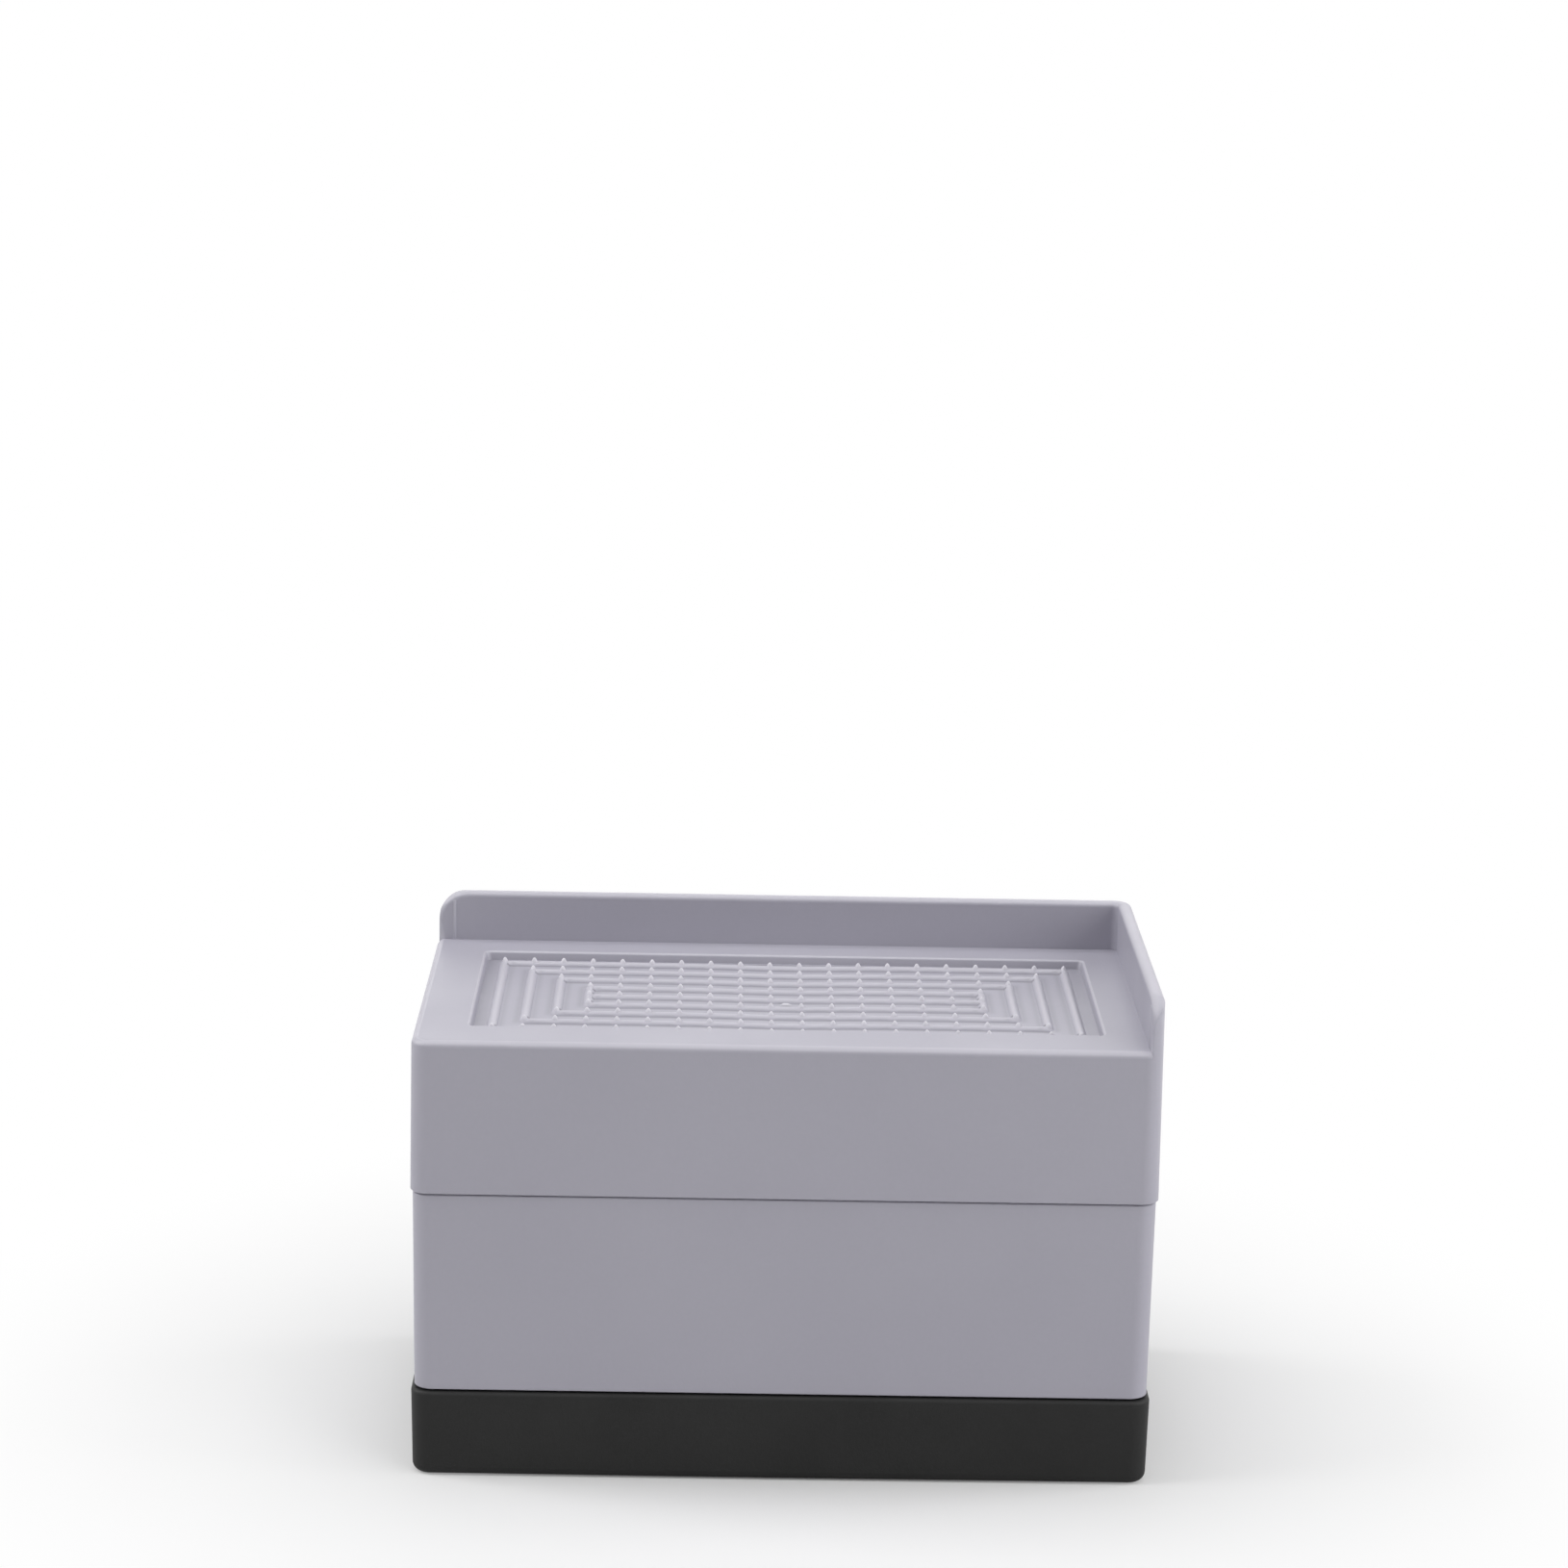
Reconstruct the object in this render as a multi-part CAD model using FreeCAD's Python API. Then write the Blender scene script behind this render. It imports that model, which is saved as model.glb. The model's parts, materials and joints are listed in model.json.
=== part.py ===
import FreeCAD, Part
import math
import os

# Bed riser in three loose pieces that stack: a rubber cup, a tub that stands in it, and a platform
# with a guard on two sides that drops onto the tub. Millimetres, +Z up, the open corner of the
# guard towards -X and -Y, the origin on the floor under the middle of the plan.

# Plan of the platform over the lower edge of its skirt
PLATFORM_WIDTH = 119.6
PLATFORM_DEPTH = 64.8
CORNER_RADIUS = 3.0

# Heights, in the order in which the pieces stack
FOOT_HEIGHT = 14.35
FOOT_GAP = 0.3
BODY_HEIGHT = 32.85
SEAM_GAP = 0.25
PLATFORM_HEIGHT = 25.25
GUARD_HEIGHT = 8.4

# Draft of each moulding, in degrees
PLATFORM_DRAFT = 0.35
BODY_DRAFT = 0.45
FOOT_DRAFT = 1.0

# How far each outer face stands back from, or proud of, the one above it
BODY_REVEAL = 0.35
FOOT_PROUD = 0.5

# Rubber foot and the spigot of the body that stands in it
FOOT_WALL = 3.2
FOOT_FLOOR = 4.5
FOOT_LOWER_ROUND = 1.5
FOOT_RIM_ROUND = 0.6
SPIGOT_CLEARANCE = 0.2
SPIGOT_CORNER_RADIUS = 1.5

# Body, a tub that is open upwards
BODY_WALL = 2.5
BODY_FLOOR = 2.5
BODY_LOWER_CHAMFER = 0.15
BODY_RIM_CHAMFER = 0.15

# Platform, a deck with a skirt that is open downwards
DECK_THICKNESS = 3.2
DECK_EDGE_ROUND = 1.15
SKIRT_EDGE_CHAMFER = 0.2

# Smallest radius of an upright corner inside a moulding
CAVITY_CORNER_RADIUS = 1.0

# Lap joint: a lip under the skirt drops into a rebate inside the body's rim
RIM_WALL = 1.2
LIP_THICKNESS = 1.1
LIP_LENGTH = 3.0
LIP_CLEARANCE = 0.2

# Cross ribs: those of the platform stand on those of the body
RIB_THICKNESS = 2.0
RIB_SPACING = 40.0

# Guard along the back and the right side
GUARD_THICKNESS = 2.2
GUARD_END_ROUND = 5.3
GUARD_TOP_ROUND = 0.9
GUARD_INNER_ROUND = 1.2

# Near each free end the guard's inner face curves back, from a fine upright bead onwards
LEAD_IN_LENGTH = 2.9
LEAD_IN_DEPTH = 0.35
BEAD_RADIUS = 0.3
BEAD_HEIGHT = 0.12

# Tread: nested frames of ridges in a shallow recess, with a raised dot at each crossing
TREAD_PITCH = 5.0
TREAD_BORDER = 12.3
RECESS_DEPTH = 1.45
RECESS_MARGIN_X = 3.0
RECESS_MARGIN_Y = 2.3
RECESS_SLOPE = 0.35
RECESS_CORNER_RADIUS = 0.8
RECESS_LIP_ROUND = 0.5
RIDGE_HEIGHT = 0.45
RIDGE_BASE_WIDTH = 1.6
RIDGE_TOP_WIDTH = 0.9
DOT_HEIGHT = 0.7
DOT_BASE_RADIUS = 0.44
DOT_TOP_RADIUS = 0.28
DOT_SIDES = 6
GATE_RADIUS = 1.1
GATE_HEIGHT = 0.3

# Levels that follow from the heights
SHOULDER_Z = FOOT_HEIGHT + FOOT_GAP
BODY_RIM_Z = SHOULDER_Z + BODY_HEIGHT
SKIRT_Z = BODY_RIM_Z + SEAM_GAP
DECK_Z = SKIRT_Z + PLATFORM_HEIGHT
DECK_UNDERSIDE_Z = DECK_Z - DECK_THICKNESS
GUARD_TOP_Z = DECK_Z + GUARD_HEIGHT
RIB_SEAT_Z = BODY_RIM_Z
LIP_Z = SKIRT_Z - LIP_LENGTH
REBATE_Z = LIP_Z - LIP_CLEARANCE
TREAD_FLOOR_Z = DECK_Z - RECESS_DEPTH
RIDGE_TOP_Z = TREAD_FLOOR_Z + RIDGE_HEIGHT

# As many crossings of the tread as fit between its borders, and the frames that they make
ROUNDING_ROOM = 1e-6
TREAD_COLUMNS = int((PLATFORM_WIDTH - 2 * TREAD_BORDER) / TREAD_PITCH + ROUNDING_ROOM) + 1
TREAD_ROWS = int((PLATFORM_DEPTH - 2 * TREAD_BORDER) / TREAD_PITCH + ROUNDING_ROOM) + 1
TREAD_FRAMES = min(TREAD_COLUMNS, TREAD_ROWS) // 2

# The skirt is as thick as the lap joint needs, so that lip and skirt share their inner face
SKIRT_WALL = BODY_REVEAL + RIM_WALL + LIP_CLEARANCE + LIP_THICKNESS

# How far a tool or a joining face runs past the faces that it cuts or joins
OVERRUN = 1.0

# Faces that meet at more degrees than this have a sharp edge between them
SHARP_ANGLE = 20.0


def draft_inset(height, degrees):
    """How far a face with this draft moves inwards over a height."""
    return height * math.tan(math.radians(degrees))


def platform_half(z):
    """Half width and half depth of the platform's outer faces at a level."""
    inset = draft_inset(z - SKIRT_Z, PLATFORM_DRAFT)
    return PLATFORM_WIDTH / 2 - inset, PLATFORM_DEPTH / 2 - inset


def body_half(z):
    """Half width and half depth of the body's outer faces at a level."""
    inset = BODY_REVEAL + draft_inset(BODY_RIM_Z - z, BODY_DRAFT)
    return PLATFORM_WIDTH / 2 - inset, PLATFORM_DEPTH / 2 - inset


def foot_half(z):
    """Half width and half depth of the rubber foot's outer faces at a level."""
    half_x, half_y = body_half(SHOULDER_Z)
    inset = draft_inset(FOOT_HEIGHT - z, FOOT_DRAFT) - FOOT_PROUD
    return half_x - inset, half_y - inset


def pocket_half(z):
    """Half width and half depth of the pocket in the rubber foot at a level."""
    half_x, half_y = foot_half(FOOT_HEIGHT)
    inset = FOOT_WALL + draft_inset(FOOT_HEIGHT - z, BODY_DRAFT)
    return half_x - inset, half_y - inset


def inside(half, wall):
    """Half sizes that lie a wall's thickness inside other half sizes."""
    return half[0] - wall, half[1] - wall


def corner_inside(wall):
    """Radius of an upright corner that lies a wall's thickness inside an outer one."""
    return max(CORNER_RADIUS - wall, CAVITY_CORNER_RADIUS)


def rectangle(half, z):
    """Corners of a rectangle about the Z axis."""
    half_x, half_y = half
    plan = [(half_x, half_y), (-half_x, half_y), (-half_x, -half_y), (half_x, -half_y)]
    return [FreeCAD.Vector(x, y, z) for x, y in plan]


def prismoid(lower, upper):
    """Flat-sided solid between two outlines of as many points each."""
    loops = [lower[::-1], upper]
    for index, point in enumerate(lower):
        after = (index + 1) % len(lower)
        loops.append([point, lower[after], upper[after], upper[index]])
    shell = Part.Shell([Part.Face(Part.makePolygon(loop + loop[:1])) for loop in loops])
    shell.sewShape()
    return Part.Solid(shell)


def block(lower_half, lower_z, upper_half, upper_z, radius=0.0):
    """Drafted block about the Z axis, with its upright edges rounded if a radius is given."""
    solid = prismoid(rectangle(lower_half, lower_z), rectangle(upper_half, upper_z))
    if radius <= 0.0:
        return solid
    upright = [edge for edge in solid.Edges if edge.BoundBox.ZLength > abs(upper_z - lower_z) / 2]
    return solid.makeFillet(radius, upright)


def box(low, high):
    """Box between two corners."""
    size = [b - a for a, b in zip(low, high)]
    return Part.makeBox(*size, FreeCAD.Vector(*low))


def edges_at(shape, z):
    """Edges of a shape that lie wholly at one level."""
    return [edge for edge in shape.Edges
            if max(abs(edge.BoundBox.ZMin - z), abs(edge.BoundBox.ZMax - z)) < ROUNDING_ROOM]


def rib_places():
    """X of the middle of each cross rib."""
    return [-RIB_SPACING / 2, RIB_SPACING / 2]


def make_rubber_foot():
    """Rubber cup with a flat underside and a pocket for the body's spigot."""
    cup = block(foot_half(0.0), 0.0, foot_half(FOOT_HEIGHT), FOOT_HEIGHT, CORNER_RADIUS)
    cup = cup.makeFillet(FOOT_LOWER_ROUND, edges_at(cup, 0.0))
    cup = cup.makeFillet(FOOT_RIM_ROUND, edges_at(cup, FOOT_HEIGHT))
    mouth_z = FOOT_HEIGHT + OVERRUN
    pocket = block(pocket_half(FOOT_FLOOR), FOOT_FLOOR, pocket_half(mouth_z), mouth_z,
                   SPIGOT_CORNER_RADIUS + SPIGOT_CLEARANCE)
    return cup.cut(pocket)


def make_riser_body():
    """Tub with a spigot below its shoulder, open upwards, with cross ribs that carry the platform."""
    wall = block(body_half(SHOULDER_Z), SHOULDER_Z, body_half(BODY_RIM_Z), BODY_RIM_Z, CORNER_RADIUS)
    wall = wall.makeChamfer(BODY_LOWER_CHAMFER, edges_at(wall, SHOULDER_Z))
    wall = wall.makeChamfer(BODY_RIM_CHAMFER, edges_at(wall, BODY_RIM_Z))

    join_z = SHOULDER_Z + OVERRUN
    spigot = block(inside(pocket_half(FOOT_FLOOR), SPIGOT_CLEARANCE), FOOT_FLOOR,
                   inside(pocket_half(join_z), SPIGOT_CLEARANCE), join_z, SPIGOT_CORNER_RADIUS)

    ledge_z = SHOULDER_Z + BODY_WALL
    mouth_z = BODY_RIM_Z + OVERRUN
    upper_cavity = block(inside(body_half(ledge_z), BODY_WALL), ledge_z,
                         inside(body_half(mouth_z), BODY_WALL), mouth_z, corner_inside(BODY_WALL))
    floor_z = FOOT_FLOOR + BODY_FLOOR
    spigot_wall = SPIGOT_CLEARANCE + BODY_WALL
    lower_cavity = block(inside(pocket_half(floor_z), spigot_wall), floor_z,
                         inside(pocket_half(ledge_z + OVERRUN), spigot_wall), ledge_z + OVERRUN,
                         CAVITY_CORNER_RADIUS)
    cavity = upper_cavity.fuse(lower_cavity)
    rebate_half = inside(body_half(BODY_RIM_Z), RIM_WALL)
    rebate = block(rebate_half, REBATE_Z, rebate_half, mouth_z, corner_inside(RIM_WALL))
    tub = wall.fuse(spigot).cut(cavity).cut(rebate)

    half_rib = RIB_THICKNESS / 2
    clear_of_lip = rebate_half[1] - 2 * LIP_CLEARANCE - LIP_THICKNESS
    for x in rib_places():
        rooted = box((x - half_rib, -PLATFORM_DEPTH, floor_z), (x + half_rib, PLATFORM_DEPTH, REBATE_Z))
        raised = box((x - half_rib, -clear_of_lip, floor_z), (x + half_rib, clear_of_lip, RIB_SEAT_Z))
        tub = tub.fuse(rooted.fuse(raised).common(cavity))
    return tub.removeSplitter()


def sharp_edges(shape):
    """Edges of a shape where its faces meet at an angle."""
    sharp = []
    for edge in shape.Edges:
        middle = edge.valueAt((edge.FirstParameter + edge.LastParameter) / 2)
        faces = shape.ancestorsOfType(edge, Part.Face)
        normals = [face.normalAt(*face.Surface.parameter(middle)) for face in faces]
        if len(normals) == 2 and math.degrees(normals[0].getAngle(normals[1])) > SHARP_ANGLE:
            sharp.append(edge)
    return sharp


def make_guard():
    """L-shaped guard on the platform's back and right edges, rounded over along its top and free ends."""
    base_z = DECK_UNDERSIDE_Z
    half_x, half_y = platform_half(GUARD_TOP_Z)
    outline = block(platform_half(base_z), base_z, (half_x, half_y), GUARD_TOP_Z, CORNER_RADIUS)
    outline = outline.makeFillet(GUARD_TOP_ROUND, edges_at(outline, GUARD_TOP_Z))

    reach = PLATFORM_WIDTH
    inner_x, inner_y = inside((half_x, half_y), GUARD_THICKNESS)
    seat = box((-reach, -reach, base_z - OVERRUN), (inner_x, inner_y, GUARD_TOP_Z + OVERRUN))
    corner = Part.Vertex(inner_x, inner_y, DECK_Z)
    corner_edge = [edge for edge in seat.Edges if edge.distToShape(corner)[0] < ROUNDING_ROOM]
    seat = seat.makeFillet(GUARD_INNER_ROUND, corner_edge)

    frame = box((-half_x, -half_y, base_z), (reach, reach, GUARD_TOP_Z)).cut(seat)
    ends = [(-half_x, inner_y, True), (-half_y, inner_x, False)]
    for end, face, along_x in ends:
        frame = frame.cut(end_round(end, along_x)).cut(lead_in(end, face, along_x))
    inner_edges = []
    for edge in sharp_edges(frame):
        span = edge.BoundBox
        if span.ZMax > DECK_Z and span.XMax < half_x and span.YMax < half_y:
            inner_edges.append(edge)
    frame = frame.makeFillet(GUARD_TOP_ROUND, inner_edges)
    return frame.common(outline).fuse([bead(*end) for end in ends])


def along_guard(along, across, z, along_x):
    """Point by its place along a guard and across it, for the guard along X or the one along Y."""
    return FreeCAD.Vector(along, across, z) if along_x else FreeCAD.Vector(across, along, z)


def end_round(end, along_x):
    """Cutter that rounds the top corner of a guard at its free end."""
    centre, centre_z = end + GUARD_END_ROUND, GUARD_TOP_Z - GUARD_END_ROUND
    reach = PLATFORM_WIDTH
    corner = box(along_guard(end - OVERRUN, -reach, centre_z, along_x),
                 along_guard(centre, reach, GUARD_TOP_Z + OVERRUN, along_x))
    axis = along_guard(0, 1, 0, along_x)
    start = along_guard(centre, -reach, centre_z, along_x)
    return corner.cut(Part.makeCylinder(GUARD_END_ROUND, 2 * reach, start, axis))


def lead_in(end, face, along_x):
    """Cutter that curves the inner face of a guard back towards its free end."""
    radius = (LEAD_IN_LENGTH ** 2 + LEAD_IN_DEPTH ** 2) / (2 * LEAD_IN_DEPTH)
    start = end + LEAD_IN_LENGTH
    low_z, high_z = DECK_UNDERSIDE_Z - OVERRUN, GUARD_TOP_Z + OVERRUN
    slab = box(along_guard(end - OVERRUN, face - OVERRUN, low_z, along_x),
               along_guard(start, face + LEAD_IN_DEPTH + OVERRUN, high_z, along_x))
    centre = along_guard(start, face + radius, low_z, along_x)
    return slab.cut(Part.makeCylinder(radius, high_z - low_z, centre))


def bead(end, face, along_x):
    """Fine bead up the inner face of a guard, from the deck to where the guard's top is rounded."""
    short_of_round = max(GUARD_END_ROUND - LEAD_IN_LENGTH, 0.0)
    drop = GUARD_END_ROUND - math.sqrt(GUARD_END_ROUND ** 2 - short_of_round ** 2)
    foot = along_guard(end + LEAD_IN_LENGTH, face + BEAD_RADIUS - BEAD_HEIGHT, DECK_UNDERSIDE_Z, along_x)
    top_z = GUARD_TOP_Z - drop - GUARD_TOP_ROUND
    return Part.makeCylinder(BEAD_RADIUS, top_z - DECK_UNDERSIDE_Z, foot)


def make_lip():
    """Lip that hangs from the inner half of the skirt into the body's rebate."""
    setback = RIM_WALL + LIP_CLEARANCE
    outer_half = inside(body_half(BODY_RIM_Z), setback)
    inner_half = inside(outer_half, LIP_THICKNESS)
    top_z = SKIRT_Z + SKIRT_EDGE_CHAMFER + OVERRUN
    outer = block(outer_half, LIP_Z, outer_half, top_z, corner_inside(setback))
    inner = block(inner_half, LIP_Z - OVERRUN, inner_half, top_z + OVERRUN,
                  corner_inside(setback + LIP_THICKNESS))
    return outer.cut(inner)


def make_ribs():
    """Cross ribs under the deck, rooted in skirt and lip, which reach down to the ribs of the body."""
    reach = body_half(BODY_RIM_Z)[1] - RIM_WALL - LIP_CLEARANCE - LIP_THICKNESS / 2
    top_z = DECK_UNDERSIDE_Z + DECK_THICKNESS / 4
    half_rib = RIB_THICKNESS / 2
    return [box((x - half_rib, -reach, RIB_SEAT_Z), (x + half_rib, reach, top_z)) for x in rib_places()]


def lattice_place(column, row):
    """X and Y of a crossing of the tread, counted from the back left corner."""
    x = (column - (TREAD_COLUMNS - 1) / 2) * TREAD_PITCH
    y = ((TREAD_ROWS - 1) / 2 - row) * TREAD_PITCH
    return x, y


def tread_half():
    """Half width and half depth of the tread's outermost frame, along its ridges."""
    return (TREAD_COLUMNS - 1) * TREAD_PITCH / 2, (TREAD_ROWS - 1) * TREAD_PITCH / 2


def make_recess():
    """Cutter for the shallow recess that holds the tread."""
    half_x, half_y = tread_half()
    floor = half_x + RECESS_MARGIN_X, half_y + RECESS_MARGIN_Y
    rise = (RECESS_DEPTH + OVERRUN) / RECESS_DEPTH
    mouth = inside(floor, -RECESS_SLOPE * rise)
    return block(floor, TREAD_FLOOR_Z, mouth, DECK_Z + OVERRUN, RECESS_CORNER_RADIUS)


def recess_mouth(shell):
    """Edges of a platform round the mouth of its recess."""
    half_x, half_y = tread_half()
    reach_x = half_x + RECESS_MARGIN_X + RECESS_SLOPE + OVERRUN
    reach_y = half_y + RECESS_MARGIN_Y + RECESS_SLOPE + OVERRUN
    return [edge for edge in edges_at(shell, DECK_Z)
            if abs(edge.CenterOfMass.x) < reach_x and abs(edge.CenterOfMass.y) < reach_y]


def ridge_frame(half):
    """Rectangular frame of ridge with sloping flanks, standing on the recess's floor."""
    base, top = RIDGE_BASE_WIDTH / 2, RIDGE_TOP_WIDTH / 2
    outer = block(inside(half, -base), TREAD_FLOOR_Z, inside(half, -top), RIDGE_TOP_Z)
    inner = block(inside(half, base), TREAD_FLOOR_Z, inside(half, top), RIDGE_TOP_Z)
    return outer.cut(inner)


def make_ridges():
    """Nested frames, and a single ridge along their middle where the rows are odd in number."""
    half_x, half_y = tread_half()
    ridges = []
    for frame in range(TREAD_FRAMES):
        step = frame * TREAD_PITCH
        ridges.append(ridge_frame((half_x - step, half_y - step)))
    if TREAD_ROWS % 2:
        reach = half_x - (TREAD_FRAMES - 1) * TREAD_PITCH
        ridges.append(block((reach, RIDGE_BASE_WIDTH / 2), TREAD_FLOOR_Z,
                            (reach, RIDGE_TOP_WIDTH / 2), RIDGE_TOP_Z))
    return ridges


def dot(x, y):
    """Small raised dot, a few-sided cone cut off at its top, standing on a ridge."""
    outlines = []
    for radius, z in ((DOT_BASE_RADIUS, RIDGE_TOP_Z), (DOT_TOP_RADIUS, RIDGE_TOP_Z + DOT_HEIGHT)):
        angles = [2 * math.pi * side / DOT_SIDES for side in range(DOT_SIDES)]
        outlines.append([FreeCAD.Vector(x + radius * math.cos(angle), y + radius * math.sin(angle), z)
                         for angle in angles])
    return prismoid(*outlines)


def make_dots():
    """One dot at each crossing along the ridges that run from left to right."""
    dots = []
    for row in range(TREAD_ROWS):
        first = min(row, TREAD_ROWS - 1 - row, TREAD_FRAMES - 1)
        for column in range(first, TREAD_COLUMNS - first):
            dots.append(dot(*lattice_place(column, row)))
    return dots


def make_top_platform():
    """Deck, skirt, ribs, guard and tread, moulded as one piece."""
    shell = block(platform_half(SKIRT_Z), SKIRT_Z, platform_half(DECK_Z), DECK_Z, CORNER_RADIUS)
    shell = shell.makeFillet(DECK_EDGE_ROUND, edges_at(shell, DECK_Z))
    shell = shell.makeChamfer(SKIRT_EDGE_CHAMFER, edges_at(shell, SKIRT_Z))
    mouth_z = SKIRT_Z - OVERRUN
    cavity = block(inside(platform_half(mouth_z), SKIRT_WALL), mouth_z,
                   inside(platform_half(DECK_UNDERSIDE_Z), SKIRT_WALL), DECK_UNDERSIDE_Z,
                   corner_inside(SKIRT_WALL))
    shell = shell.cut(cavity)
    shell = shell.fuse([make_lip(), make_guard()] + make_ribs()).removeSplitter()
    shell = shell.cut(make_recess())
    shell = shell.makeFillet(RECESS_LIP_ROUND, recess_mouth(shell))

    gate_place = FreeCAD.Vector(0, -TREAD_PITCH / 2, TREAD_FLOOR_Z)
    gate = Part.makeCylinder(GATE_RADIUS, GATE_HEIGHT, gate_place)
    return shell.fuse(make_ridges() + make_dots() + [gate]).removeSplitter()


def main():
    """Build each piece and write it to its own file."""
    os.makedirs("parts", exist_ok=True)
    pieces = {
        "rubber_foot": make_rubber_foot(),
        "riser_body": make_riser_body(),
        "top_platform": make_top_platform(),
    }
    for name, shape in pieces.items():
        if len(shape.Solids) != 1 or not shape.isValid():
            raise ValueError(f"{name} is not one sound solid")
        shape.Solids[0].exportStep(os.path.join("parts", f"{name}.step"))
        size = shape.BoundBox
        print(f"{name}: volume {shape.Volume / 1000:.2f} cm3, "
              f"{size.XLength:.2f} x {size.YLength:.2f} x {size.ZLength:.2f} mm")


main()
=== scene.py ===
"""Looks of a bed riser: finishes for its three pieces, a finely moulded tread, studio and camera."""

import json
import logging
import math
from dataclasses import dataclass
from enum import Enum

import bpy
from mathutils import Matrix, Vector


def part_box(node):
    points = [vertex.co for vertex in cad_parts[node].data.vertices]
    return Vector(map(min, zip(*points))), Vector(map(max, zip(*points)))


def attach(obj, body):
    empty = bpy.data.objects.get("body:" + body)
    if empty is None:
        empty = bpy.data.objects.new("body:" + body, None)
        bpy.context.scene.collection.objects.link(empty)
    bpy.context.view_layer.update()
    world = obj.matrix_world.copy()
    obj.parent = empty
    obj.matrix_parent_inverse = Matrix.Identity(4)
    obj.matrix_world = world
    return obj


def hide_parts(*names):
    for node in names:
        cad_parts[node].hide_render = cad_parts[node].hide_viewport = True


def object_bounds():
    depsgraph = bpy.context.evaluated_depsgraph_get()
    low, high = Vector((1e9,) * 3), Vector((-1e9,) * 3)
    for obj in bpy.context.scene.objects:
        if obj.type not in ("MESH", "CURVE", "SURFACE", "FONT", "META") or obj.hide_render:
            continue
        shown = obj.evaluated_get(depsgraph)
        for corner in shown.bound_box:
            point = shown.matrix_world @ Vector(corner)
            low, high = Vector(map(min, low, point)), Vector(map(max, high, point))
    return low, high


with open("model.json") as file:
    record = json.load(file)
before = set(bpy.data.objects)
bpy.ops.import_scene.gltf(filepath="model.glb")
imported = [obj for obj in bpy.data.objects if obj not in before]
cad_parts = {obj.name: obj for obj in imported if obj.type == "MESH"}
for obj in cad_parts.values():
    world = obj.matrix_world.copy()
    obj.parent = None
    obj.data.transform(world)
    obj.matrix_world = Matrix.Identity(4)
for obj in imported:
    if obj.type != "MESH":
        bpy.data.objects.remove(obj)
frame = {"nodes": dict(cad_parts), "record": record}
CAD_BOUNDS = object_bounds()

Colour = tuple[float, float, float, float]

LOG = logging.getLogger("bed_riser")
MM = 0.001
WHITE = (1.0, 1.0, 1.0, 1.0)

# The Mix node has several sockets of each name, so those for colours go by number.
MIX_SHARE = 0
MIX_FIRST_COLOUR = 6
MIX_SECOND_COLOUR = 7
MIX_RESULT_COLOUR = 2


class Piece(Enum):
    """The riser's pieces, by the names of their nodes."""

    FOOT = "rubber_foot"
    BODY = "riser_body"
    PLATFORM = "top_platform"


class Slot(Enum):
    """The record's material slots."""

    PLASTIC = "grey_moulding"
    RUBBER = "black_rubber"


class Axis(Enum):
    """The two directions of the tread's lattice."""

    ACROSS = 0
    DEEP = 1


class PaintedLight(Enum):
    """Attributes that say where highlights and shade are painted on the platform, nought where a mesh has
    none.
    """

    HIGHLIGHT = "rub"
    SHADE = "dust"


def smooth_fall(start: float, end: float, value: float) -> float:
    """Fall smoothly from one to nought.

    Args:
        start: where the fall begins.
        end: where it ends.
        value: where to read it.

    Returns:
        One before the start, nought after the end and an S-shaped fall between.
    """
    share = min(max((value - start) / (end - start), 0.0), 1.0)
    return 1.0 - share * share * (3.0 - 2.0 * share)


def hump(reach: float, value: float) -> float:
    """Follow a rounded back from its crown to its foot.

    Args:
        reach: how far the foot lies from the crown.
        value: where to read it.

    Returns:
        One at the crown, nought from the foot outwards and a parabola between.
    """
    return max(1.0 - (value / reach) ** 2, 0.0)


def arch(reach: float, value: float) -> float:
    """Follow a round arch from its crown to its foot.

    Args:
        reach: how far the foot lies from the crown.
        value: where to read it.

    Returns:
        One at the crown, nought from the foot outwards and a quarter of a circle between.
    """
    return math.sqrt(hump(reach, value))


def deselect() -> None:
    """Leave edit mode and select nothing."""
    if bpy.context.object and bpy.context.object.mode != "OBJECT":
        bpy.ops.object.mode_set(mode="OBJECT")
    bpy.ops.object.select_all(action="DESELECT")


def activate(piece: bpy.types.Object) -> None:
    """Select one object alone and make it the active one.

    Args:
        piece: the object to work on.
    """
    deselect()
    piece.select_set(True)
    bpy.context.view_layer.objects.active = piece


def mark_painted_light(mesh: bpy.types.Mesh, shares: list[dict[PaintedLight, float]]) -> None:
    """Store on a mesh where highlights and shade are painted on it.

    Args:
        mesh: the mesh to mark.
        shares: the shares of painted highlight and painted shade, vertex by vertex.
    """
    for painted_light in PaintedLight:
        layer = mesh.attributes.new(painted_light.value, "FLOAT", "POINT")
        for mark, share in zip(layer.data, shares):
            mark.value = share[painted_light]


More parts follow.
